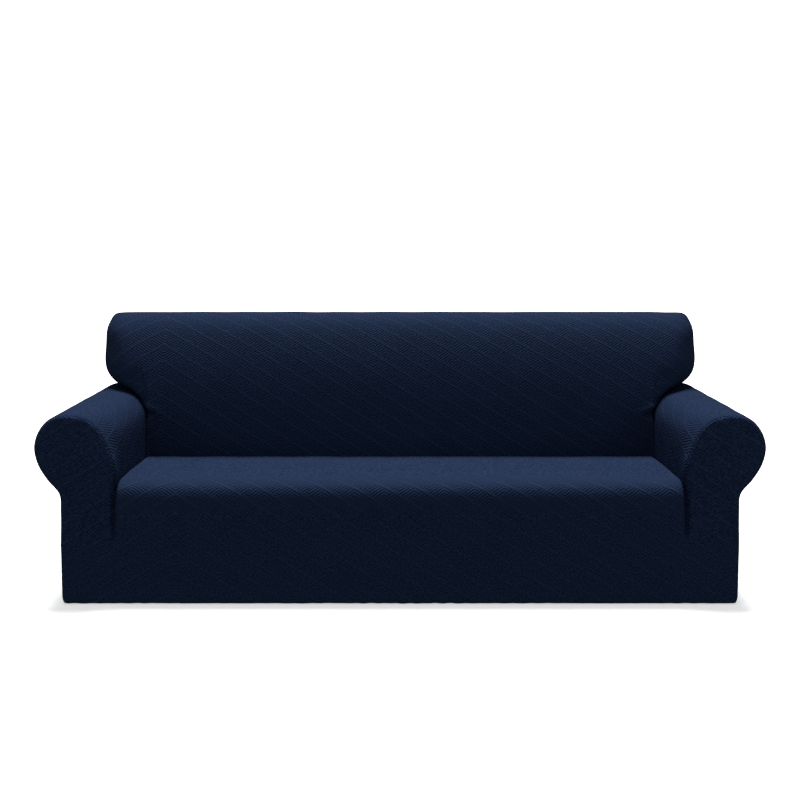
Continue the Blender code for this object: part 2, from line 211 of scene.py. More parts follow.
# %% Seam of the arm front
def arm_front_seam():
    """Outline moved inwards by the seam's inset and set just behind the front plane. At its inner foot it
    runs back into the slit, by a share that falls as a square over the first 10 cm."""
    seam = outline - outward * seam_inset
    height = outline[:, 1]
    run = np.r_[0.0, np.cumsum(np.linalg.norm(np.diff(outline, axis=0), axis=1))]
    fade = np.clip(1.0 - run / 0.10, 0.0, 1.0) ** 2
    seam[0] = outline[0]
    seam[slit_row, 1] = slit_foot
    seam[:, 0] += (outline[:, 0] - seam[:, 0]) * np.clip(1.0 - run / 0.02, 0.0, 1.0)
    depth = seam_inset + (seat_section[5][3] - seam_inset) * fade
    depth[slit_row:] += hem_draw_in(height[slit_row:]) * 0.7
    return np.stack([seam[:, 0], depth, seam[:, 1]], 1)


front_seam = arm_front_seam()
print(f"arm front seam: from depth {front_seam[0, 1] * 1000:.0f} mm in the slit "
      f"to {seam_inset * 1000:.0f} mm")

# %% Cloth grids
# How far the relief stands out on each part of the front. It also sets how strong the painted shade in the
# ribs' grooves and the painted light on their tops are.
relief_and_shade_seat, relief_and_shade_roll, relief_and_shade_drop, relief_and_shade_arm_front = 0.12, 1.25, 0.50, 0.75
from_slit = np.r_[np.linspace(0.0, 0.024, 13), np.linspace(0.024, slit_x, 113)[1:]]
front_shares = np.linspace(0.0, 1.0, 36)
front_shares = 0.75 * front_shares + 0.25 * (0.5 - 0.5 * np.cos(np.pi * front_shares))


def cloth_grid(x, depth, height, s, t, relief):
    """Six numbers at each grid point: the place (x, depth, height), the place on the flat cloth in metres (s,
    t), and how far the woven relief stands out there, which also sets how strong the painted shade in its
    grooves and the painted light on its rib tops are (1 is its full height on the back)."""
    return np.stack(np.broadcast_arrays(x, depth, height, s, t, relief), 2).astype(float)


def drop_grid():
    """Right half under the slits, from the middle to the outer seam. Depth is the draw-in of the hem; the
    last column is the arm front's seam."""
    seam = front_seam[slit_row:][::-1]
    height = seam[:, 2:3]
    drop = np.repeat(slit_x - from_slit[::-1][None, :], len(seam), 0)
    front = slit_x + (seam[:, 0:1] - slit_x) * front_shares[1:]
    x = np.hstack([drop, front])
    to_seam = np.clip(1.0 - (seam[:, 0:1] - x) / seam_turn, 0.0, 1.0) ** 2
    draw = hem_draw_in(height)
    depth = draw + (seam[:, 1:2] - draw) * to_seam
    return cloth_grid(x, depth, height, x, height, relief_and_shade_drop)


def seat_grid():
    """Right half of the upper drop and the seat. Each row is the section's middle point, bent towards its
    side point by the share that toward_seam gives. t is the length run along the middle line."""
    distance = from_slit[::-1]
    share = toward_seam(distance)[None, :]
    x = (slit_x - distance)[None, :] + (section[:, 2:3] - slit_x) * share
    depth = section[:, 0:1] + (section[:, 3:4] - section[:, 0:1]) * share
    height = section[:, 1:2] + (section[:, 4:5] - section[:, 1:2]) * share
    steps = np.linalg.norm(np.diff(section[:, :2], axis=0), axis=1)
    t = slit_foot + np.r_[0.0, np.cumsum(steps)][:, None]
    # The relief, and with it the painted shade and light on the ribs, is strongest on the roll and faint on
    # the seat's top.
    on_roll = np.exp(-(((t - 0.372) / 0.035) ** 2))
    on_top = np.clip((t - 0.395) / 0.05, 0.0, 1.0)
    relief = relief_and_shade_drop + (relief_and_shade_roll - relief_and_shade_drop) * on_roll
    return cloth_grid(x, depth, height, x, t, relief + (relief_and_shade_seat - relief) * on_top)


def arm_front_grid():
    """Coons' patch between the slit and inner seam, the outer seam, the drop's top edge and the scroll's top.
    It puffs out by the product of two half sines, and turns back to the seam over the last 6 mm."""
    inner = np.vstack([slit_line, front_seam[1 : inner_rows + 1]])
    outer_edge = front_seam[rear_corner : slit_row + 1][::-1]
    top = front_seam[inner_rows : rear_corner + 1]
    columns = len(front_shares)
    top = np.stack([np.interp(front_shares, np.linspace(0, 1, len(top)), top[:, k]) for k in range(3)], 1)
    bottom = drop_grid()[-1, -columns:, :3]
    rows = len(inner)
    even = np.linspace(0.0, 1.0, rows)
    at_edge = np.linspace(0, 1, len(outer_edge))
    outer_edge = np.stack([np.interp(even, at_edge, outer_edge[:, k]) for k in range(3)], 1)
    u, v = front_shares[None, :, None], even[:, None, None]
    corners = (1 - v) * ((1 - u) * bottom[0] + u * bottom[-1]) + v * ((1 - u) * top[0] + u * top[-1])
    patch = inner[:, None] * (1 - u) + outer_edge[:, None] * u + bottom * (1 - v) + top * v - corners
    x, height = patch[:, :, 0], patch[:, :, 2]
    puff = face_puff * np.sin(np.pi * v[:, :, 0]) * np.sin(np.pi * u[:, :, 0])

    def near(edge, reach):
        apart = np.hypot(x[:, :, None] - edge[None, None, :, 0], height[:, :, None] - edge[None, None, :, 2])
        return np.clip(1.0 - apart.min(2) / reach, 0.0, 1.0) ** 2

    slit_part = near(slit_line, groove_width)
    seam_part = near(front_seam[1 : slit_row + 1], seam_turn)
    deep = inner[:, None, 1]
    depth = -puff * (1.0 - slit_part) + deep * slit_part
    depth = depth + (seam_inset - depth) * seam_part * (1.0 - slit_part)
    grid = cloth_grid(x, depth, height, x, height, relief_and_shade_arm_front)
    grid[:, 0, :3], grid[:, -1, :3] = inner, outer_edge
    grid[0, :, :3], grid[-1, :, :3] = bottom, top
    return grid


front_grids = {"drop": drop_grid(), "seat": seat_grid(), "arm front": arm_front_grid()}
for title, grid in front_grids.items():
    print(f"{title}: {grid.shape[0]} by {grid.shape[1]} points")

# %% [markdown]
# ## Arm panels
#
# The arm's cloth is the outline carried straight back, like a rolled sheet. Extruding a curve would do for
# the middle, but the ends need more: in front the cloth turns in to the scroll's seam, from there it gets
# fuller on the inside, and behind it ends on the line where the back's cloth presses on it. That line climbs
# from the seat's crevice over the roll, and a table gives its depth. `turn_share` says how far along the
# outline a row is, and the inside back uses it too.

# %% Arm panel
junction_depth = (  # share of the outline, depth
    (0.00, 0.548),
    (0.14, 0.556),
    (0.30, 0.580),
    (0.42, 0.618),
    (0.52, 0.655),
    (0.64, 0.684),
    (0.76, 0.712),
    (0.88, 0.790),
    (1.00, rear_seam),
)
inside_share = 7.0 / 15.0  # what the arm's inside takes of the way up to the rear corner
turn_share = np.r_[
    np.linspace(0.0, inside_share, inner_rows + 1),
    np.linspace(inside_share, 1.0, top_rows + 1)[1:],
]
junction = np.interp(turn_share, *np.array(junction_depth).T)


def arm_grid(columns=118):
    """Rows along the outline, columns from the front seam to the junction or the rear seam. Over the first 6
    mm the cloth turns from the seam to the outline by a quarter of a sine. t is the length along the outline.
    s is less than the depth inside the arm, because there the cloth is drawn out lengthwise and its pattern
    with it."""
    rear = np.full(len(outline), rear_seam)
    rear[: rear_corner + 1] = junction
    back_inset = np.zeros(len(outline))
    back_inset[rear_corner + 1 :] = seam_inset
    start = front_seam[:, 1]
    even = np.linspace(0.0, 1.0, columns)
    even = 0.8 * even + 0.2 * (0.5 - 0.5 * np.cos(np.pi * even))
    depth = start[:, None] + (rear - start)[:, None] * even
    turn = np.clip((depth - start[:, None]) / seam_turn, 0.0, 1.0)
    turn_back = np.clip((rear[:, None] - depth) / seam_turn, 0.0, 1.0)
    inset_front = (outline - front_seam[:, [0, 2]])[:, None, :] * (1.0 - np.sin(np.pi / 2 * turn))[:, :, None]
    inset_rear = (
        (outward * back_inset[:, None])[:, None, :] * (1.0 - np.sin(np.pi / 2 * turn_back))[:, :, None]
    )
    full = np.clip(depth / fuller_from, 0.0, 1.0)[:, :, None]
    full = full * full * (3.0 - 2.0 * full)
    place = outline[:, None, :] + fuller_shift[:, None, :] * full - inset_front - inset_rear
    run = np.r_[0.0, np.cumsum(np.linalg.norm(np.diff(outline, axis=0), axis=1))]
    # The relief, and with it the painted shade and light on the ribs, is weaker over the top of the roll and
    # stronger on the inside wall.
    on_roll = np.exp(-(((run - 0.30) / 0.09) ** 2))
    inside = np.clip((0.24 - run) / 0.10, 0.0, 1.0)
    relief = 0.9 - 0.6 * on_roll + 0.2 * inside
    depth[-1] += np.linspace(0.0, -hem_draw * 0.7, columns) * (even > 0.98)
    drawn_out = (0.57 + 0.43 * np.clip((run - 0.28) / 0.14, 0.0, 1.0))[:, None]
    grid = cloth_grid(
        place[:, :, 0], depth, place[:, :, 1], -depth * drawn_out, run[:, None], relief[:, None]
    )
    along = np.linspace(0.0, 1.0, len(seat_seam))
    grid[0, :, :3] = np.stack([np.interp(even, along, seat_seam[:, k]) for k in range(3)], 1)
    return grid


arm = arm_grid()
print(f"arm panel: {arm.shape[0]} by {arm.shape[1]} points, "
      f"{arm[-1, 0, 4]:.3f} m from the seat seam to the hem")

# %% [markdown]
# ## Inside back
#
# This cloth starts on the arms' junction line and in the crevice, climbs the leaning face, rolls over the top
# and wraps round both ends to the rear seam. A plain way would be a box with rounded edges, but its corners
# would not meet the arms. Here every column of the grid starts at its own point of that foot line. Columns
# that start over the arm turn through up to 115 degrees round the end, and the ones between the arms don't
# turn at all.

# %% Section of the back
back_face = (  # height, depth
    (0.340, 0.562),
    (0.375, 0.556),
    (0.400, 0.551),
    (0.440, 0.548),
    (0.500, 0.553),
    (0.570, 0.563),
    (0.640, 0.578),
    (0.700, 0.596),
    (0.750, 0.616),
    (0.795, 0.639),
    (0.830, 0.663),
    (0.856, 0.690),
)
back_over_top = (  # middle depth, middle height, end height, end half width
    (0.616, 0.750, 0.750, 1.143),
    (0.663, 0.830, 0.830, 1.1275),
    (0.690, 0.856, 0.851, 1.116),
    (0.728, 0.875, 0.863, 1.109),
    (0.790, 0.883, 0.871, 1.098),
    (0.870, 0.879, 0.872, 1.082),
    (rear_seam, 0.868, 0.868, 1.061),
)
back_outline = (  # height, half width
    (0.600, 1.106),
    (0.612, 1.119),
    (0.631, 1.137),
    (0.654, 1.146),
    (0.688, 1.149),
    (0.760, 1.143),
    (0.814, 1.134),
    (0.837, 1.124),
)
shoulder, end_round, end_turn = 0.830, 0.13, np.radians(115.0)
face_rows, over_rows = 76, 36


def back_grid():
    """Columns from the right rear corner along the foot line to the left one, rows up the face and over the
    top. Depth is the face's, plus the end's rounding: (rear seam - face) * (1 - cos turn) / (1 - cos 115
    degrees)."""
    right = arm[: rear_corner + 1, -1, :3][::-1]
    crevice = seat_grid()[-1, ::-1, :3][1:]
    half = np.vstack([right, crevice])
    foot = np.vstack([half, (half * [-1, 1, 1])[-2::-1]])
    far = np.zeros(len(half))
    far[: rear_corner + 1] = turn_share[::-1]
    angle = end_turn * far
    spread = np.ones(len(half))
    spread[rear_corner:] = half[rear_corner:, 0] / half[rear_corner, 0]
    outer = np.clip(1.0 - 15.0 * (1.0 - far) / 11.0, 0.0, 1.0)
    outer[rear_corner + 1 :] = 0.0
    angle, outer = (np.r_[half_values, half_values[-2::-1]][:, None] for half_values in (angle, outer))
    spread = np.r_[spread, -spread[-2::-1]][:, None]

    face_line = curve(back_face, np.linspace(0.0, 1.0, 300))
    width_line = curve(back_outline, np.linspace(0.0, 1.0, 200))
    at = chord_shares(back_over_top)[1]
    over = curve(back_over_top, np.linspace(at, 1.0, over_rows + 1))[1:]
    climb = np.linspace(0.0, 1.0, face_rows + 1)
    height = foot[:, 2:3] + (shoulder - foot[:, 2:3]) * climb
    face = np.interp(height, face_line[:, 0], face_line[:, 1])
    height = np.hstack([height, np.repeat(over[None, :, 1], len(foot), 0)])
    face = np.hstack([face, np.repeat(over[None, :, 0], len(foot), 0)])
    end = (1.0 - np.cos(angle)) / (1.0 - np.cos(end_turn))
    height[:, -over_rows:] += (over[:, 2] - height[:, -over_rows:]) * end
    width = np.interp(height, width_line[:, 0], width_line[:, 1])
    width[:, -over_rows:] = over[:, 3]
    rows = face_rows + over_rows
    level = np.interp(np.arange(rows + 1), [0, face_rows, rows], [0.0, 0.85, 1.0])
    target = (width - end_round * (1.0 - np.sin(angle))) * spread
    share = outer * (1.0 - (1.0 - level) ** 9) + (1.0 - outer) * level**3
    x = foot[:, 0:1] + (target - foot[:, 0:1]) * share
    passed = np.clip((np.abs(x) - width) / end_round + 1.0, 0.0, 1.0)
    turn = outer * angle + (1.0 - outer) * np.minimum(angle, np.arcsin(passed))
    depth = face + (rear_seam - face) * (1.0 - np.cos(turn)) / (1.0 - np.cos(end_turn))
    depth += (foot[:, 1:2] - depth[:, :1]) * np.exp(-level / 0.10)[None, :]

    middle = len(half) - 1
    climbed = np.r_[0.0, np.cumsum(np.hypot(np.diff(height[middle]), np.diff(depth[middle])))]
    t = np.interp(height, height[middle, : face_rows + 1], climbed[: face_rows + 1])
    t[:, -over_rows:] = climbed[-over_rows:]
    s = x + np.sign(x) * end_round * (1.2 * turn - np.sin(turn))
    grid = cloth_grid(x, depth, height, s, t, 1.0)
    grid[:, -1, 1] = grid[0, :, 1] = grid[-1, :, 1] = rear_seam
    grid[:, 0, :3] = foot
    evenly = np.linspace(grid[0, -1, 0], grid[rear_corner, -1, 0], rear_corner + 1)
    grid[: rear_corner + 1, -1, 0] = evenly
    grid[-rear_corner - 1 :, -1, 0] = -evenly[::-1]
    return grid


back = back_grid()
print(f"inside back: {back.shape[0]} by {back.shape[1]} points")
print(f"  {back[:, :, 4].max():.3f} m from the crevice to the rear seam")

# %% [markdown]
# ## Outside back
#
# Nobody sees it against a wall, so the maker leaves it flat: one cloth between the two outer edges, the top
# and the hem. Each row runs straight across between the edges that the other panels already have.

# %% Outside back
def rear_grid():
    """Rows from the hem up both outer edges to the top, a column for every second point of the top edge. It
    stands 5 mm out from its seams, which the outer 14 mm turn back to as a quarter of a sine."""
    side = np.vstack([arm[rear_corner:, -1, :3][::-1], back[0, 1:, :3]])
    top = back[::2, -1, :3]
    share = (top[0, 0] - top[:, 0]) / (top[0, 0] - top[-1, 0])
    x = side[:, 0:1] * (1.0 - 2.0 * share)
    height = side[:, 2:3] + (top[None, :, 2] - side[-1, 2]) * (side[:, 2:3] / side[-1, 2]) ** 8
    inside = np.minimum(side[:, 0:1] - np.abs(x), side[-1, 2] - height)
    rise = np.sin(np.pi / 2 * np.clip(inside / 0.014, 0.0, 1.0))
    depth = rear_seam + (depth_of_cover - rear_seam) * rise - hem_draw_in(height)
    grid = cloth_grid(x, depth, height, -x, height, 0.7)
    grid[:, 0, :3], grid[:, -1, :3] = side, side * [-1, 1, 1]
    grid[-1, :, :3] = top
    return grid


rear = rear_grid()
print(f"outside back: {rear.shape[0]} by {rear.shape[1]} points")

# %% [markdown]
# ## From grids to cloth
#
# A grid worked out from tables is too exact for cloth. Real knit evens out every kink, so each grid is
# relaxed: a point moves halfway to the mean of its four neighbours, four to ten times, while the edges stay
# on their seams. A cloth simulation would do this too, but on a taut cover it would change little and take
# minutes. After that the surface gets its slight unevenness and its few creases, as moves along its own
# normal.

# %% Relaxing and lifting a grid
slow_height = 0.0010


def relax(grid, passes=10):
    """Inner points: half their own value and an eighth of each of the four neighbours, repeated."""
    grid = grid.copy()
    for _ in range(passes):
        around = grid[2:, 1:-1] + grid[:-2, 1:-1] + grid[1:-1, 2:] + grid[1:-1, :-2]
        grid[1:-1, 1:-1] = 0.5 * grid[1:-1, 1:-1] + 0.125 * around
    return grid


def lifted(grid, amount, sewn="first last left right"):
    """Adds a seventh number to each point: how far it moves out along the cloth's normal once the mesh is
    made. It fades to nought over five cells at every edge that is sewn to another panel."""
    rows, columns = grid.shape[:2]
    row, column = np.arange(rows)[:, None], np.arange(columns)[None, :]
    apart = {"first": row, "last": rows - 1 - row, "left": column, "right": columns - 1 - column}
    for edge in sewn.split():
        amount = amount * np.clip(apart[edge] / 5.0, 0.0, 1.0)
    return np.dstack([grid, amount])


def unevenness(s, t, size):
    """Sum of four slow sines across the cloth, with wavelengths from 17 to 61 cm that never repeat
    together."""
    waves = ((0.61, 0.23, 0.4), (0.33, -0.41, 1.7), (-0.19, 0.27, 2.9), (0.17, 0.48, 0.8))
    return size * sum(np.sin(2 * np.pi * (s / a + t / b) + c) for a, b, c in waves) / 4.0


def fold(x, z, start, end, width):
    """Soft ridge along a straight line: 1 on the line, falling as a bell curve with the distance, and pointed
    at both ends by half a sine along the line."""
    start, end = np.array(start), np.array(end)
    way = end - start
    along = ((x - start[0]) * way[0] + (z - start[1]) * way[1]) / (way @ way)
    apart = np.abs((x - start[0]) * way[1] - (z - start[1]) * way[0]) / np.sqrt(way @ way)
    return np.exp(-((apart / width) ** 2)) * np.sin(np.pi * np.clip(along, 0.0, 1.0))


# %% [markdown]
# ## Creases of a stretched cover
#
# Where the arm's cloth, the back's cloth and the sofa's corner meet, the pull runs off in one direction. The
# photo shows it on both sides: a short ridge that points to the middle, with a dark trough under it, and
# above the arm a shallow hollow. Painting them as shade would look flat from the side, so they move the cloth
# itself. So do the small puckers over the hem. The jacquard's layout also turns round to the left of a line,
# in front and on the back.

# %% Creases and unevenness
def with_creases(grid):
    """Inside back with its two pull lines and hollows, the same on both sides."""
    x, z = np.abs(grid[:, :, 0]), grid[:, :, 2]
    face = np.clip((0.75 - grid[:, :, 1]) / 0.05, 0.0, 1.0)
    amount = 0.0065 * fold(x, z, (0.972, 0.580), (0.860, 0.530), 0.010)
    amount -= 0.0070 * fold(x, z, (0.968, 0.560), (0.880, 0.516), 0.009)
    amount += 0.0030 * fold(x, z, (0.960, 0.530), (0.900, 0.475), 0.012)
    amount -= 0.0045 * np.exp(-(((x - 0.975) / 0.045) ** 2) - (((z - 0.655) / 0.028) ** 2))
    return lifted(grid, amount * face + unevenness(grid[:, :, 3], grid[:, :, 4], slow_height))


def other_side(grid, flat=-1):
    """The same cloth on the other side: x changes its sign, and so does the flat place's s if flat is -1."""
    grid = grid.copy()
    grid[:, :, 0] *= -1
    grid[:, :, 3] *= flat
    return grid


def whole_width(grid):
    """The mirror image and the right half, joined along the middle column."""
    return np.concatenate([other_side(grid)[:, :0:-1], grid], 1)


def gathers(x, height):
    """Small upright puckers that the hem's elastic draws in: two waves, 47 and 63 mm long, that drift in and
    out of step, at most 2 mm high at the hem and gone 140 mm above it."""
    near_hem = np.clip(1.0 - height / 0.14, 0.0, 1.0) * np.clip(height / 0.004, 0.3, 1.0)
    waves = (
        np.sin(2 * np.pi * (x / 0.047 + 0.35 * np.sin(9.0 * x)))
        + 0.7 * np.sin(2 * np.pi * x / 0.063 + 1.0)
    )
    return 0.0011 * waves * near_hem * (0.6 + 0.4 * np.sin(5.3 * x + 1.2))


def one_way(grid, turning_point):
    """Cloth of which the layout is turned round to the left of a line: s runs back from there."""
    grid = grid.copy()
    grid[:, :, 3] = np.abs(grid[:, :, 3] - turning_point) + turning_point
    return grid


turning_front, turning_back = -0.72, -0.867


def front_part(grid, sewn, more=0.0):
    """Part of the front with its unevenness and what else lifts it, turned round to the left of its line."""
    amount = unevenness(grid[:, :, 0], grid[:, :, 4], slow_height) + more
    return one_way(lifted(grid, amount, sewn), turning_front)


drop, seat = relax(whole_width(drop_grid())), relax(whole_width(seat_grid()))
arm_front = relax(arm_front_grid(), 6)
front_cloth = [
    front_part(drop, "left right", gathers(drop[:, :, 0], drop[:, :, 2])),
    front_part(seat, "last left right"),
    front_part(arm_front, "last left right"),
    front_part(other_side(arm_front), "last left right"),
]

arm = relax(arm, 6)
right_lift = unevenness(arm[:, :, 3], arm[:, :, 4], slow_height) + gathers(arm[:, :, 1] + 2.0, arm[:, :, 2])
left_lift = (
    unevenness(arm[:, :, 3], 0.3 - arm[:, :, 4], slow_height)
    + gathers(arm[:, :, 1] + 3.0, arm[:, :, 2])
)
arm_right = lifted(arm, right_lift, sewn="first left right")
arm_left = lifted(other_side(arm, flat=1), left_lift, sewn="first left right")
back_cloth = one_way(with_creases(relax(back, 8)), turning_back)
rear = relax(rear, 4)
rear_lift = unevenness(rear[:, :, 3], rear[:, :, 4], 0.0012) + gathers(rear[:, :, 0] + 5.0, rear[:, :, 2])
rear_cloth = lifted(rear, rear_lift, sewn="last left right")
print("turned round left of", turning_front, "m in front and", turning_back, "m on the back")

# %% [markdown]
# ## Meshes
#
# A grid becomes a mesh in one go: its points in a row, and for each square the numbers of its four corners.
# The front's grids share edge points, so these are merged. The skin has no thickness yet. Solidify gives it
# that on the inner side only, because the outer side is what the seams were measured for. Real knit of this
# kind is thinner than the 1.5 mm used in the frame, so 1.2 mm is nearer.

# %% Mesh of a cloth
cloth_thickness = 0.0012
middle_of_cover = Vector((0.0, 0.0, 0.2))


def cloth_piece(name, grids, stands_for):
    """One object: points and quads of all grids, merged where they meet, with the flat place of the cloth
    stored per point as the attribute cloth (s, t, relief). Each point then moves along its normal by its
    lift. Area is the sum of the faces' areas."""
    places, flats, lifts, quads, start = [], [], [], [], 0
    for grid in grids:
        rows, columns = grid.shape[:2]
        index = start + np.arange(rows * columns).reshape(rows, columns)
        corners = [index[:-1, :-1], index[:-1, 1:], index[1:, 1:], index[1:, :-1]]
        quads.append(np.stack(corners, 2).reshape(-1, 4))
        place = grid[:, :, :3].reshape(-1, 3).copy()
        place[:, 1] -= middle_depth
        places.append(place)
        flats.append(grid[:, :, 3:6].reshape(-1, 3))
        lifts.append(grid[:, :, 6].ravel())
        start += rows * columns
    mesh = bpy.data.meshes.new(name)
    mesh.from_pydata(np.vstack(places), [], np.vstack(quads))
    mesh.attributes.new("cloth", "FLOAT_VECTOR", "POINT").data.foreach_set("vector", np.vstack(flats).ravel())
    mesh.attributes.new("lift", "FLOAT", "POINT").data.foreach_set("value", np.hstack(lifts))
    work = bmesh.new()
    work.from_mesh(mesh)
    bmesh.ops.remove_doubles(work, verts=work.verts, dist=0.00002)
    bmesh.ops.recalc_face_normals(work, faces=work.faces)
    facing = 0.0
    for face in work.faces:
        facing += (face.normal @ (face.calc_center_median() - middle_of_cover)) * face.calc_area()
    if facing < 0:
        bmesh.ops.reverse_faces(work, faces=work.faces)
    area = sum(face.calc_area() for face in work.faces)
    work.to_mesh(mesh)
    work.free()
    count = len(mesh.vertices)
    place, normal, lift = np.empty(3 * count), np.empty(3 * count), np.empty(count)
    mesh.vertices.foreach_get("co", place)
    mesh.vertex_normals.foreach_get("vector", normal)
    mesh.attributes["lift"].data.foreach_get("value", lift)
    mesh.vertices.foreach_set("co", place + normal * np.repeat(lift, 3))
    mesh.attributes.remove(mesh.attributes["lift"])
    mesh.shade_smooth()
    piece = bpy.data.objects.new(name, mesh)
    bpy.context.scene.collection.objects.link(piece)
    solid = piece.modifiers.new("thickness", "SOLIDIFY")
    solid.thickness, solid.offset, solid.use_even_offset = cloth_thickness, -1.0, False
    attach(piece, "root")
    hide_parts(stands_for)
    print(f"{name}: {len(mesh.polygons)} quads, {area:.3f} square metres")
    return piece, area


# %% [markdown]
# ## Sewing the five panels
#
# Each piece stands for the solid of the same panel. A stretch cover is cut smaller than the sofa: the knit
# gives about a quarter, so its flat area is 0.8 of what it covers.

# %% The five pieces
stretch = 1.25
with_trimmings = 1.12  # the cut's rectangle over its area, because a cutter trims the corners off
panels = (  # piece, its grids, the solid it stands for, the width it covers
    ("front_cloth", front_cloth, "front_panel", 2.34),
    ("arm_cloth_right", [arm_right], "arm_panel_right", 0.91),
    ("arm_cloth_left", [arm_left], "arm_panel_left", 0.91),
    ("inside_back_cloth", [back_cloth], "inside_back_panel", 2.90),
    ("outside_back_cloth", [rear_cloth], "outside_back_panel", 2.30),
)
pieces, whole_area = [], 0.0
for name, grids, stands_for, width in panels:
    piece, area = cloth_piece(name, grids, stands_for)
    cut_area = area / stretch
    cut_width = width / np.sqrt(stretch)
    cut_length = with_trimmings * cut_area / cut_width
    print(f"  cut from {cut_width:.2f} by {cut_length:.2f} m, {cut_area:.2f} square metres")
    pieces.append(piece)
    whole_area += area
print(f"{whole_area:.2f} square metres of cloth in all")

# %% [markdown]
# ## Shader maths
#
# The weave is worked out by the shader, so a small language for it helps. The class below wraps a socket, and
# plus, minus, times and the rest add Math nodes. The same could be done by hand in the shader editor, but a
# formula is easier to read than forty boxes.

# %% Sockets as numbers
class Cloth:
    """A value or vector inside one material's node tree."""

    def __init__(self, tree, socket):
        self.tree, self.socket = tree, socket

    def node(self, kind, settings=(), output=0, **inputs):
        """Adds a node of the kind, sets its settings, then its inputs by name or number, and gives one
        output."""
        made = self.tree.nodes.new(kind)
        for key, value in dict(settings).items():
            setattr(made, key, value)
        for key, value in inputs.items():
            place = made.inputs[int(key[1:])] if key[0] == "_" else made.inputs[key.replace("_", " ")]
            if isinstance(value, Cloth):
                self.tree.links.new(value.socket, place)
            else:
                place.default_value = value
        return Cloth(self.tree, made.outputs[output])

    def maths(self, operation, *values, clamp=False):
        inputs = {f"_{place}": value for place, value in enumerate(values)}
        return self.node("ShaderNodeMath", {"operation": operation, "use_clamp": clamp}, **inputs)

    def __add__(self, other):
        return self.maths("ADD", self, other)

    def __radd__(self, other):
        return self.maths("ADD", other, self)

    def __sub__(self, other):
        return self.maths("SUBTRACT", self, other)

    def __rsub__(self, other):
        return self.maths("SUBTRACT", other, self)

    def __mul__(self, other):
        return self.maths("MULTIPLY", self, other)

    def __truediv__(self, other):
        return self.maths("DIVIDE", self, other)

    def __neg__(self):
        return self.maths("MULTIPLY", self, -1.0)

    def __abs__(self):
        return self.maths("ABSOLUTE", self)

    def cosine(self):
        return self.maths("COSINE", self)

    def round(self):
        return self.maths("ROUND", self)

    def bell(self, width):
        """1 at nought, falling as exp(-(x / width) squared)."""
        return self.maths("EXPONENT", -((self / width) * (self / width)))

    def step(self, softness):
        """0 well below nought, 1 well above, and a straight ramp of the given width between."""
        return self.maths("MULTIPLY_ADD", self, 1.0 / softness, 0.5, clamp=True)


# %% [markdown]
# ## The woven key pattern
#
# The jacquard is a traditional key (meander) pattern in relief: ribs 9 mm apart that bend at fixed places, so
# they seem to lock into each other. Its layout repeats on a slanting lattice. An image could hold it, but a
# formula stays sharp at any size. First the place on the cloth is turned into steps along the lattice's two
# directions. Inside a cell, ribs along one direction fill two opposite triangles and a band at the cell's
# border, and ribs along the other fill the rest. Each rib is a cosine, six to a cell.

# %% Pattern of ribs
lattice_down = (0.0483, -0.0300)
lattice_up = (0.0480, 0.0330)
ribs_per_cell = 6


def key_pattern(s, t):
    """Height of the relief, from about -1 to 1. With a and b the steps along the two directions, u = a -
    round(a) and v = round(b) - b. Where u and v have one sign and |u| < |v|, or |v| > 0.42, the height is
    cos(12 pi v), and elsewhere cos(12 pi u). A cord runs along v = 0.44 with a groove beside it at the
    border."""
    span = lattice_down[0] * lattice_up[1] - lattice_down[1] * lattice_up[0]
    a = (s * lattice_up[1] - t * lattice_up[0]) / span
    b = (t * lattice_down[0] - s * lattice_down[1]) / span
    u = a - a.round()
    v = b.round() - b
    triangle = (u * v * 60.0).step(0.3) * (abs(v) - abs(u)).step(0.05)
    band = (abs(v) - 0.42).step(0.03)
    across = triangle.maths("MAXIMUM", triangle, band)
    along_up = (u * (2 * np.pi * ribs_per_cell)).cosine()
    along_down = (v * (2 * np.pi * ribs_per_cell)).cosine()
    ribs = along_up + (along_down - along_up) * across
    cord = (v - 0.44).bell(0.035)
    groove = (abs(v) - 0.5).bell(0.025)
    return ribs * (1.0 - cord) + cord * 1.1 - groove * 0.5


rib_height, stitch_height, yarn_height = 0.00055, 0.00004, 0.00020
# Two ends of one navy. The relief pushes the grooves towards the dark end as painted shade and the rib tops
# towards the light end as painted light, and the yarn's grain and the dye spread the knit's own tone between
# them.
dark_navy, light_navy = (0.0050, 0.0109, 0.0285, 1.0), (0.0170, 0.0276, 0.0605, 1.0)


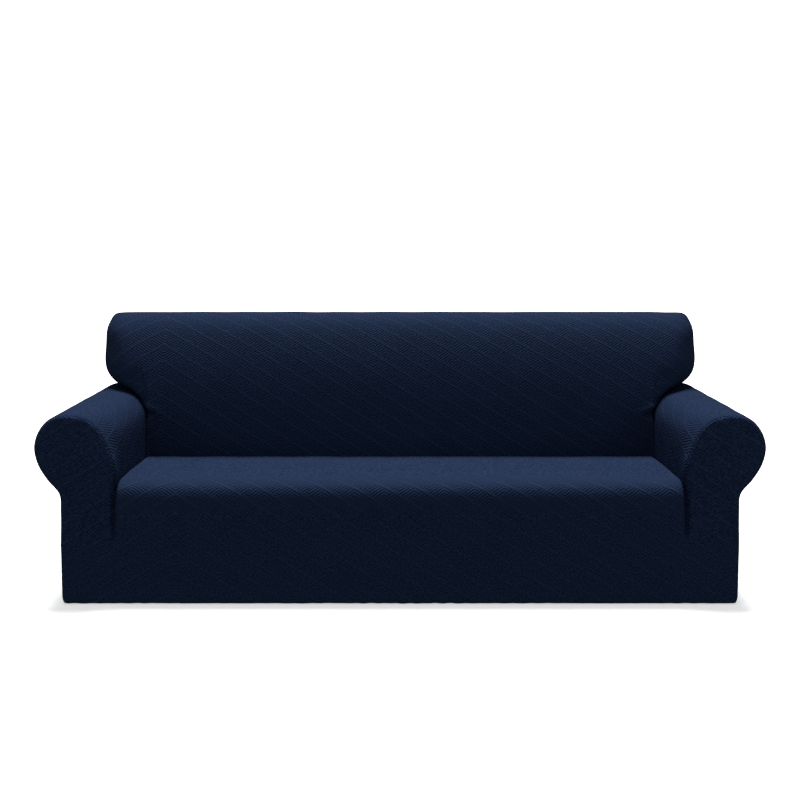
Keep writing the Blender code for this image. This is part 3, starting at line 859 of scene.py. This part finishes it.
def navy_jacquard():
    """Matt navy knit. The relief sets the bump and a small change of colour that is painted shade in the
    grooves and painted light on the rib tops, and over all of it lie stitches of 2.6 by 1.8 mm, the yarn's
    mottled grain and a slow change of the dye."""
    material = bpy.data.materials.new("navy_jacquard")
    material.use_nodes = True
    tree = material.node_tree
    shader = tree.nodes["Principled BSDF"]
    start = Cloth(tree, None)
    flat = start.node("ShaderNodeAttribute", {"attribute_name": "cloth"}, output="Vector")
    parts = flat.node("ShaderNodeSeparateXYZ", _0=flat)
    split = parts.socket.node
    s, t, relief = (Cloth(tree, split.outputs[axis]) for axis in ("X", "Y", "Z"))
    shape = key_pattern(s, t) * relief
    stitches = (s * (2 * np.pi / 0.0026)).cosine() * (t * (2 * np.pi / 0.0018)).cosine()
    yarn = flat.node("ShaderNodeTexNoise", {"noise_dimensions": "3D"}, Vector=flat, Scale=170.0, Detail=3.0)
    dye = flat.node("ShaderNodeTexNoise", {"noise_dimensions": "3D"}, Vector=flat, Scale=9.0, Detail=2.0)
    surface = shape * rib_height + stitches * stitch_height + yarn * yarn_height
    normal = flat.node("ShaderNodeBump", Strength=1.0, Distance=1.0, Height=surface)
    # The relief's part of this mix is painted shade in the grooves and painted light on the rib tops. The
    # yarn's grain and the dye are the knit's own tone.
    light_share = start.maths("ADD", 0.42 + shape * 0.44 + (yarn - 0.5) * 2.8, (dye - 0.5) * 0.20, clamp=True)
    colour = flat.node(
        "ShaderNodeMix",
        {"data_type": "RGBA"},
        output=2,
        _0=light_share,
        _6=dark_navy,
        _7=light_navy,
    )
    tree.links.new(colour.socket, shader.inputs["Base Color"])
    tree.links.new(normal.socket, shader.inputs["Normal"])
    shader.inputs["Roughness"].default_value = 0.82
    shader.inputs["Specular IOR Level"].default_value = 0.01
    return material


jacquard = navy_jacquard()
for piece in pieces:
    piece.data.materials.append(jacquard)
print(f"jacquard: {len(jacquard.node_tree.nodes)} nodes, lattice steps "
      f"{np.hypot(*lattice_down) * 1000:.0f} and {np.hypot(*lattice_up) * 1000:.0f} mm")

# %% [markdown]
# ## Floor, light and camera
#
# A catalogue photo of furniture is taken from far off with a long lens, against white. The floor is a plain
# pale sheet that glows a little and throws no light on the cloth, so it stays white without brightening the
# hem. The main light is a wide, soft one overhead and a little behind, so that the seat is light and the drop
# in front dark. A bluish fill from the front, a lamp at each side for the back's ends and a dim surround keep
# the shadows open. The camera stands level at eye height, and its lens is shifted down instead of tilted,
# which keeps upright lines upright.

# %% Floor and light
bpy.ops.mesh.primitive_plane_add(size=60.0, location=(0.0, 0.0, -0.0008))
floor = bpy.context.object
floor.name = "floor"
pale = bpy.data.materials.new("pale_floor")
pale.use_nodes = True
pale_shader = pale.node_tree.nodes["Principled BSDF"]
pale_shader.inputs["Base Color"].default_value = (0.86, 0.86, 0.86, 1.0)
pale_shader.inputs["Roughness"].default_value = 0.9
pale_shader.inputs["Emission Color"].default_value = (1.0, 1.0, 1.0, 1.0)
pale_shader.inputs["Emission Strength"].default_value = 0.50
floor.data.materials.append(pale)
floor.visible_diffuse = False
floor.visible_glossy = False


def light(name, kind, place, aim, power, size):
    """Lamp of the kind at a place, turned so that its -Z looks at the aim."""
    lamp = bpy.data.lights.new(name, kind)
    lamp.energy = power
    if kind == "SUN":
        lamp.angle = size
    else:
        lamp.shape, lamp.size, lamp.size_y = "RECTANGLE", size[0], size[1]
    holder = bpy.data.objects.new(name, lamp)
    holder.location = place
    holder.rotation_euler = (Vector(aim) - Vector(place)).to_track_quat("-Z", "Y").to_euler()
    bpy.context.scene.collection.objects.link(holder)
    return holder


light("overhead", "SUN", (0.0, 1.1, 4.0), (0.0, 0.0, 0.0), 6.4, np.radians(22.0))
front_fill = light("front_fill", "AREA", (0.0, -3.2, 1.6), (0.0, 0.0, 0.4), 25.0, (4.0, 2.0))
front_fill.data.color = (0.86, 0.93, 1.0)
for side in (-1.0, 1.0):
    light("side_fill", "AREA", (3.4 * side, -1.8, 1.5), (0.9 * side, 0.3, 0.7), 14.0, (1.5, 1.5))

world = bpy.data.worlds.new("white_room")
bpy.context.scene.world = world
world.use_nodes = True
room = Cloth(world.node_tree, None)
seen = room.node("ShaderNodeLightPath", output="Is Camera Ray")
background = world.node_tree.nodes["Background"]
background.inputs["Color"].default_value = (1.0, 1.0, 1.0, 1.0)
world.node_tree.links.new((0.17 + seen * 0.88).socket, background.inputs["Strength"])
bpy.context.scene.view_settings.view_transform = "Standard"
print("floor, four lamps and a white surround")

# %% Camera
metre_per_pixel, camera_away, eye_height = 0.0032, 4.2, 1.216
camera = bpy.data.cameras.new("camera")
camera.sensor_width = 36.0
camera.lens = 36.0 * camera_away / (800 * metre_per_pixel)
camera.shift_y = -175.2 / 800
holder = bpy.data.objects.new("camera", camera)
holder.location = (0.0, -middle_depth - camera_away, eye_height)
holder.rotation_euler = (np.pi / 2, 0.0, 0.0)
bpy.context.scene.collection.objects.link(holder)
bpy.context.scene.camera = holder
print(f"lens {camera.lens:.1f} mm, {camera_away} m from the front")

# %% Update the scene
bpy.context.view_layer.update()
